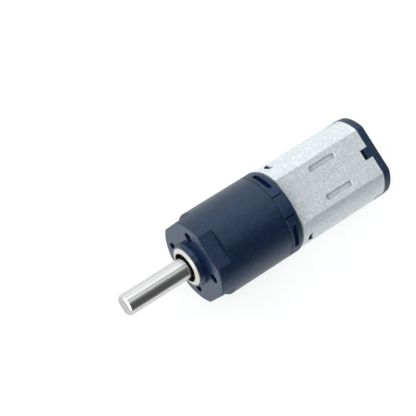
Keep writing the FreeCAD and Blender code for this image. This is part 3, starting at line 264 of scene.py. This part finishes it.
def turned_steel(name, base, roughness, ring_pitch, streaks=1.0):
    """Ground bar: fine lengthwise streaks on the round, turning rings on faces across X."""
    material, nodes, shader, place = new_material(name)
    x, y, z = nodes.split(place)[0:3]
    streak = nodes.noise(nodes.stretched(place, GRINDING_STREAKS), 1.0, detail=3.0,
                         roughness=0.6)
    band = nodes.noise(nodes.stretched(place, GRINDING_BANDS), 1.0, detail=2.0,
                       roughness=0.5)
    cloud = nodes.noise(place, STEEL_CLOUDS, detail=3.0, roughness=0.6)
    radius = nodes.math("SQRT", nodes.math("ADD", nodes.math("MULTIPLY", y, y),
                                           nodes.math("MULTIPLY", z, z)))
    ring_place = nodes.add("CombineXYZ", X=nodes.math("MULTIPLY", radius, 1.0 / ring_pitch),
                           Y=nodes.math("MULTIPLY", x, RINGS_ALONG_X), Z=0.0).outputs[0]
    rings = nodes.noise(ring_place, 1.0, detail=2.0, roughness=0.6)
    normal = nodes.split(nodes.add("NewGeometry").outputs["Normal"])[0]
    across = nodes.between(nodes.math("ABSOLUTE", normal), 0.8, 0.97)
    mark = nodes.blend(across, streak, rings)
    tint = nodes.blend(nodes.between(band, 0.3, 0.7), shade(base, 0.90), shade(base, 1.06))
    tint = nodes.blend(nodes.between(cloud, 0.5, 0.85, full=0.30), tint, shade(base, 0.72))
    tint = nodes.blend(nodes.math("MULTIPLY", across, 0.45), tint, shade(base, 0.55))
    # Painted shade: recesses, such as the bush's mouth, are darkened towards a near-black copy
    # of the base colour.
    painted_shade_colour = shade(base, 0.03)
    nodes.feed(shader, "Base Color",
               nodes.blend(nodes.painted_shade_openness(STEEL_PAINTED_SHADE_REACH), painted_shade_colour, tint))
    shader.inputs["Metallic"].default_value = 1.0
    gloss = nodes.math("ADD", roughness, nodes.math("MULTIPLY", streak, 0.10 * streaks))
    gloss = nodes.math("ADD", gloss, nodes.math("MULTIPLY", across, 0.14))
    nodes.feed(shader, "Roughness", gloss)
    wavy = nodes.bump(band, STEEL_WAVE_DEPTH * streaks)
    nodes.feed(shader, "Normal", nodes.bump(mark, STEEL_MARK_DEPTH * streaks, wavy))
    return material


def sintered_metal(name, base, roughness):
    """Sintered or cast metal: open pores, dull patches and a film of oil."""
    material, nodes, shader, place = new_material(name)
    pores = nodes.add("TexVoronoi", Vector=place, Scale=PORES).outputs["Distance"]
    patch = nodes.noise(place, OIL_PATCHES, detail=4.0, roughness=0.6)
    open_pore = nodes.between(pores, 0.08, 0.22)
    tint = nodes.blend(nodes.between(patch, 0.35, 0.7), shade(base, 0.82), shade(base, 1.12))
    nodes.feed(shader, "Base Color", nodes.blend(open_pore, shade(base, 0.35), tint))
    shader.inputs["Metallic"].default_value = 1.0
    nodes.feed(shader, "Roughness", nodes.math("ADD", roughness,
                                               nodes.math("MULTIPLY", patch, 0.18)))
    nodes.feed(shader, "Normal", nodes.bump(open_pore, PORE_DEPTH))
    return material


def wound_copper(name, base):
    """Enamelled wire: fine ridges laid side by side."""
    material, nodes, shader, place = new_material(name)
    y, z = nodes.split(place)[1:3]
    lay = nodes.math("SINE", nodes.math("MULTIPLY", nodes.math("ADD", y, z), WIRE_WAVES))
    patch = nodes.noise(place, COPPER_PATCHES, detail=2.0)
    nodes.feed(shader, "Base Color", nodes.blend(patch, shade(base, 0.7), shade(base, 1.25)))
    shader.inputs["Metallic"].default_value = 1.0
    nodes.feed(shader, "Roughness", nodes.math("ADD", 0.2, nodes.math("MULTIPLY", patch, 0.2)))
    nodes.feed(shader, "Normal", nodes.bump(lay, WIRE_DEPTH))
    return material


def dull_solid(name, base, roughness):
    """Pressed ferrite or carbon: matt, with fine grit."""
    material, nodes, shader, place = new_material(name)
    grit = nodes.noise(place, GRIT, detail=3.0, roughness=0.7)
    patch = nodes.noise(place, GRIT_PATCHES, detail=3.0)
    nodes.feed(shader, "Base Color", nodes.blend(patch, shade(base, 0.7), shade(base, 1.4)))
    nodes.feed(shader, "Roughness", nodes.math("ADD", roughness,
                                               nodes.math("MULTIPLY", grit, 0.15)))
    nodes.feed(shader, "Normal", nodes.bump(grit, GRIT_DEPTH))
    return material


NAVY_BLACK = colour(0.0018, 0.0085, 0.0300)
CAP_BLACK = colour(0.0040, 0.0110, 0.0300)
SMOOTH_GRAIN = 0.000006

FINISHES = {
    "housing_plastic": moulded_plastic("gearbox_plastic", NAVY_BLACK, roughness=0.36,
                                       grain=0.00005, polished_front=FRONT_FACE_X),
    "cover_plastic": moulded_plastic("cover_plastic", shade(NAVY_BLACK, 1.25), roughness=0.44,
                                     grain=0.00004),
    "cap_plastic": moulded_plastic("cap_plastic", CAP_BLACK, roughness=0.46, grain=0.00003),
    "can_steel": zinc_steel("zinc_steel", colour(0.675, 0.715, 0.740)),
    "shaft_steel": turned_steel("ground_steel", colour(0.610, 0.600, 0.595), roughness=0.15,
                                ring_pitch=0.00009),
    "bush_metal": turned_steel("bush_metal", colour(0.760, 0.745, 0.715), roughness=0.20,
                               ring_pitch=0.00012, streaks=1.4),
    "terminal_tin": turned_steel("tinned_brass", colour(0.740, 0.745, 0.740), roughness=0.30,
                                 ring_pitch=0.00015),
    "washer_steel": turned_steel("washer_steel", colour(0.560, 0.560, 0.560), roughness=0.28,
                                 ring_pitch=0.00012),
    "screw_steel": turned_steel("screw_steel", colour(0.600, 0.600, 0.590), roughness=0.24,
                                ring_pitch=0.00008),
    "gear_steel": sintered_metal("sintered_steel", colour(0.400, 0.400, 0.410), roughness=0.30),
    "bush_bronze": sintered_metal("sintered_bronze", colour(0.520, 0.380, 0.220),
                                  roughness=0.32),
    "pinion_brass": turned_steel("pinion_brass", colour(0.740, 0.560, 0.270), roughness=0.20,
                                 ring_pitch=0.00010),
    "leaf_bronze": turned_steel("leaf_bronze", colour(0.700, 0.480, 0.240), roughness=0.22,
                                ring_pitch=0.00010),
    "gear_plastic": moulded_plastic("gear_acetal", colour(0.720, 0.690, 0.610), roughness=0.38,
                                    grain=SMOOTH_GRAIN),
    "spacer_nylon": moulded_plastic("nylon", colour(0.780, 0.770, 0.720), roughness=0.42,
                                    grain=SMOOTH_GRAIN),
    "insulator_plastic": moulded_plastic("insulator", colour(0.030, 0.150, 0.070),
                                         roughness=0.45, grain=SMOOTH_GRAIN),
    "core_steel": sintered_metal("lamination_steel", colour(0.300, 0.300, 0.310),
                                 roughness=0.35),
    "magnet_ferrite": dull_solid("ferrite", colour(0.035, 0.035, 0.038), roughness=0.62),
    "carbon": dull_solid("carbon", colour(0.018, 0.018, 0.018), roughness=0.70),
    "copper": wound_copper("enamelled_copper", colour(0.560, 0.210, 0.095)),
}

for part in frame["record"]["subparts"]:
    mesh = frame["nodes"][part["node"]].data
    mesh.materials.clear()
    mesh.materials.append(FINISHES[part["material_slot"]])


# --- floor and light --------------------------------------------------------------------

FLOOR_GLOW = 0.80
FLOOR_DARK = colour(0.24, 0.24, 0.24)
FLOOR_PALE = colour(0.26, 0.26, 0.26)
FLOOR_CLOUDS = 9.0
WHITE = colour(1.0, 1.0, 1.0)


def add_floor():
    """A wide floor under the gearmotor. It glows, so that it stays nearly white."""
    half = FLOOR_SIZE / 2
    mesh = bpy.data.meshes.new("floor")
    corners = [(-half, -half, FLOOR_HEIGHT), (half, -half, FLOOR_HEIGHT),
               (half, half, FLOOR_HEIGHT), (-half, half, FLOOR_HEIGHT)]
    mesh.from_pydata(corners, [], [(0, 1, 2, 3)])
    floor = bpy.data.objects.new("floor", mesh)
    bpy.context.scene.collection.objects.link(floor)
    material, nodes, shader, place = new_material("pale_floor")
    cloud = nodes.noise(place, FLOOR_CLOUDS, detail=2.0)
    nodes.feed(shader, "Base Color", nodes.blend(cloud, FLOOR_DARK, FLOOR_PALE))
    shader.inputs["Emission Color"].default_value = WHITE
    shader.inputs["Emission Strength"].default_value = FLOOR_GLOW
    shader.inputs["Roughness"].default_value = 0.9
    shader.inputs["Specular IOR Level"].default_value = 0.1
    mesh.materials.append(material)


SIDE_LIGHT = 1.15
STRIP_LIGHT = 1.0
TOP_LIGHT = 0.52
LOW_LIGHT = 0.20
FRONT_LIGHT = 2.2
DIM_QUARTER = 0.13
BACKDROP = 1.0
ROOM_COLOUR = colour(0.96, 0.985, 1.0)

# Each light fades in over a band of one coordinate of the direction: where it starts, where
# it is full.
SIDE_ACROSS = (-0.40, -0.62)
TOP_ACROSS = (0.28, 0.0)
TOP_UP = (0.3, 0.8)
STRIP_OUTER = (-0.28, -0.22)
STRIP_INNER = (-0.08, -0.14)
STRIP_UP = (0.55, 0.75)
LOW_DOWN = (0.30, -0.05)
FRONT_AHEAD = (0.35, 0.6)
FRONT_UP = (-0.1, 0.1)


def light_the_room():
    """Soft room: a bright side on -Y, a strip beside it, a dimmer ceiling, a strong light
    ahead on +X, a weak one from below, and a dark quarter above +Y. The camera sees white.
    """
    world = bpy.data.worlds.new("soft_room")
    bpy.context.scene.world = world
    world.use_nodes = True
    tree = world.node_tree
    tree.nodes.clear()
    nodes = Nodes(tree)
    x, y, z = nodes.split(nodes.add("TexCoord").outputs["Generated"])[0:3]
    side = nodes.between(y, *SIDE_ACROSS)
    top = nodes.math("MULTIPLY", nodes.between(y, *TOP_ACROSS), nodes.between(z, *TOP_UP))
    strip = nodes.math("MULTIPLY", nodes.between(y, *STRIP_OUTER),
                       nodes.between(y, *STRIP_INNER))
    strip = nodes.math("MULTIPLY", strip, nodes.between(z, *STRIP_UP))
    low = nodes.between(z, *LOW_DOWN)
    front = nodes.math("MULTIPLY", nodes.between(x, *FRONT_AHEAD), nodes.between(z, *FRONT_UP))
    level = nodes.math("ADD", DIM_QUARTER, nodes.math("MULTIPLY", side, SIDE_LIGHT))
    level = nodes.math("ADD", level, nodes.math("MULTIPLY", top, TOP_LIGHT))
    level = nodes.math("ADD", level, nodes.math("MULTIPLY", low, LOW_LIGHT))
    level = nodes.math("ADD", level, nodes.math("MULTIPLY", front, FRONT_LIGHT))
    level = nodes.math("ADD", level, nodes.math("MULTIPLY", strip, STRIP_LIGHT))
    room = nodes.add("Background", Color=ROOM_COLOUR, Strength=level)
    backdrop = nodes.add("Background", Color=WHITE, Strength=BACKDROP)
    choose = tree.nodes.new("ShaderNodeMixShader")
    seen = nodes.add("LightPath").outputs["Is Camera Ray"]
    tree.links.new(seen, choose.inputs[0])
    tree.links.new(room.outputs[0], choose.inputs[1])
    tree.links.new(backdrop.outputs[0], choose.inputs[2])
    output = tree.nodes.new("ShaderNodeOutputWorld")
    tree.links.new(choose.outputs[0], output.inputs["Surface"])


def add_camera():
    """The photograph's view, as its camera was fitted to the part."""
    data = bpy.data.cameras.new("camera")
    data.sensor_width = SENSOR
    data.lens = FOCAL_PIXELS * SENSOR / FRAME_PIXELS
    data.clip_start = CLIP_NEAR
    data.clip_end = CLIP_FAR
    camera = bpy.data.objects.new("camera", data)
    turn = Matrix((CAMERA_RIGHT, CAMERA_UP, CAMERA_BACK)).transposed().to_4x4()
    camera.matrix_world = Matrix.Translation(CAMERA_PLACE) @ turn
    bpy.context.scene.collection.objects.link(camera)
    bpy.context.scene.camera = camera


add_floor()
light_the_room()
add_camera()
bpy.context.scene.view_settings.view_transform = "Standard"
